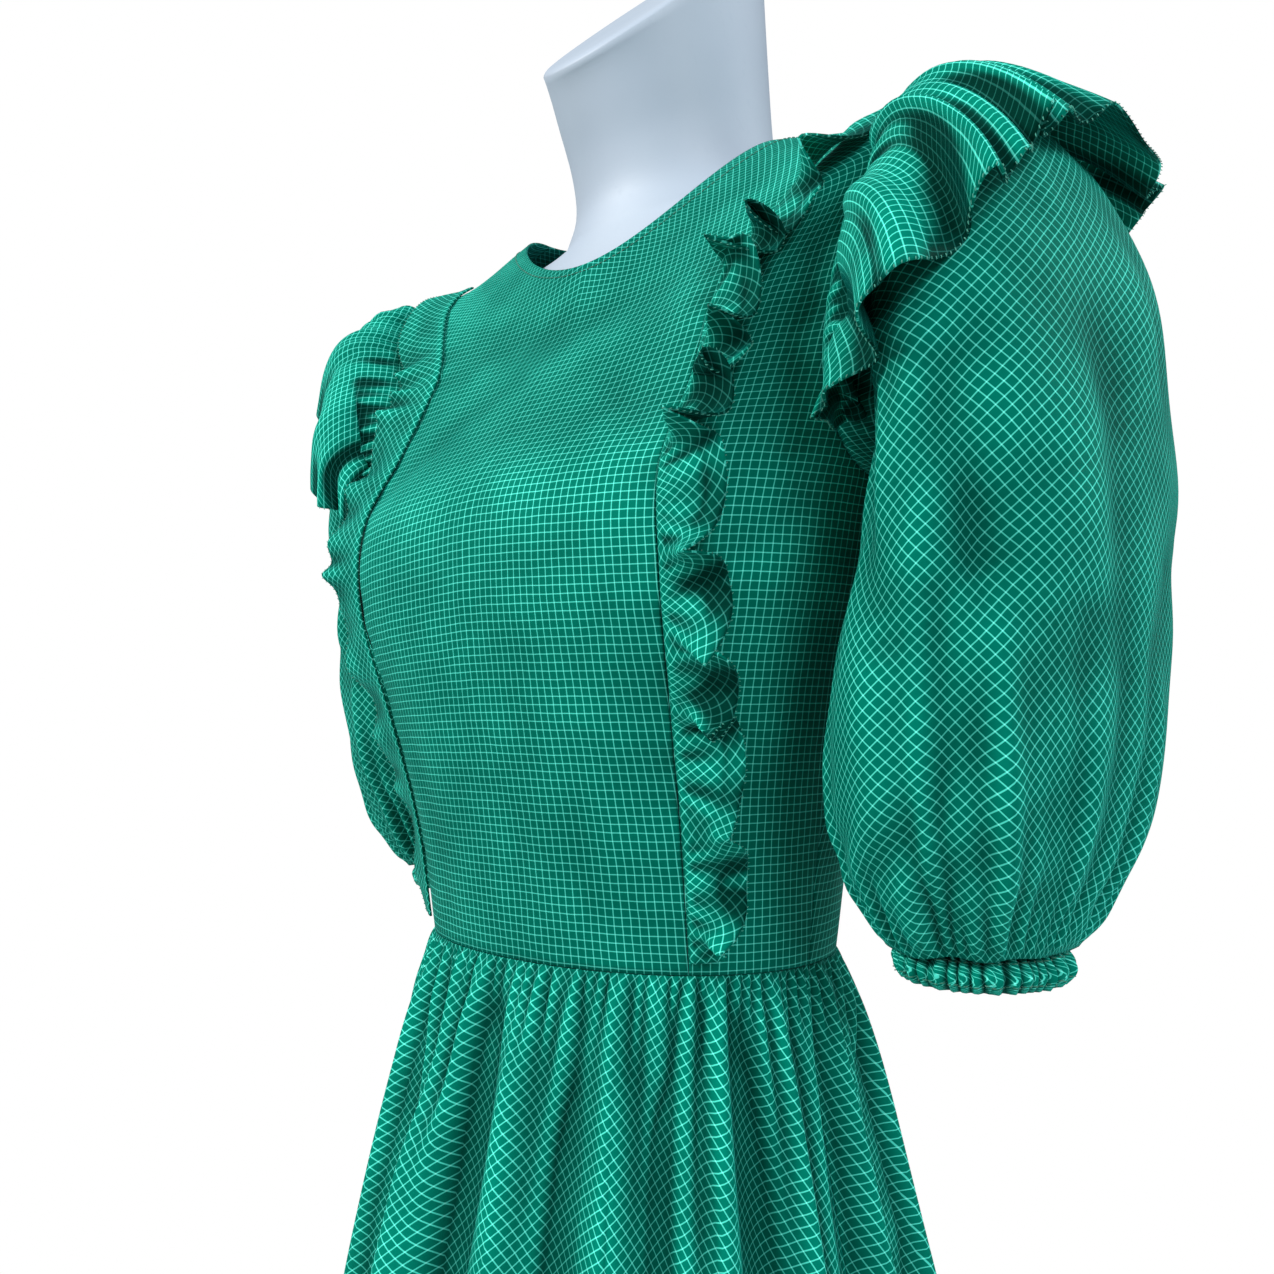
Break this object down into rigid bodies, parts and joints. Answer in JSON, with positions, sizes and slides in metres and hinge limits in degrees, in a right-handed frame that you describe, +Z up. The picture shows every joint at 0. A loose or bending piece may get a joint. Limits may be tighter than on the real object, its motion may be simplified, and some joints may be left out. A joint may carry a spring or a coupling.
{
  "type": "prairie dress on dress form",
  "caption": "Checked cotton prairie dress with puff sleeves, ruffles along the front seams and sleeve heads and a gathered midi skirt, on a limbless dress form with pole and round base.",
  "frame": {"origin": "centre of the round base's underside, on the floor under the pole", "axes": "+Z up along the pole, -Y towards the dress's front, +X towards the wearer's left"},
  "size_m": [0.5179, 0.4645, 1.6289],
  "materials": {
    "check_cotton": "matte woven cotton, fine pale windowpane check on green",
    "zip_tape": "matte woven tape",
    "zip_metal": "green enamel",
    "form_shell": "smooth satin pale grey-white",
    "brushed_pole": "brushed",
    "brushed_base": "brushed plate"
  },
  "bodies": {
    "root": {"bodice_front_centre": "check_cotton", "bodice_side_front_left": "check_cotton", "bodice_side_front_right": "check_cotton", "bodice_back_left": "check_cotton", "bodice_back_right": "check_cotton", "front_ruffle_left": "check_cotton", "front_ruffle_right": "check_cotton", "sleeve_left": "check_cotton", "sleeve_right": "check_cotton", "cuff_left": "check_cotton", "cuff_right": "check_cotton", "sleeve_head_ruffle_left": "check_cotton", "sleeve_head_ruffle_right": "check_cotton", "skirt_front": "check_cotton", "skirt_back_left": "check_cotton", "skirt_back_right": "check_cotton", "zip_tape": "zip_tape", "zip_slider": "zip_metal", "form_torso": "form_shell", "form_pole": "brushed_pole", "form_socket": "brushed_pole", "form_base": "brushed_base"},
    "zip_pull": {"zip_pull": "zip_metal"}
  },
  "joints": [
    {"name": "zip_pull_hinge", "type": "hinge", "parent": "root", "child": "zip_pull", "pos_m": [0, 0.11859, 1.4693], "axis": [1, 0, 0], "range_deg": [0, 150]}
  ]
}
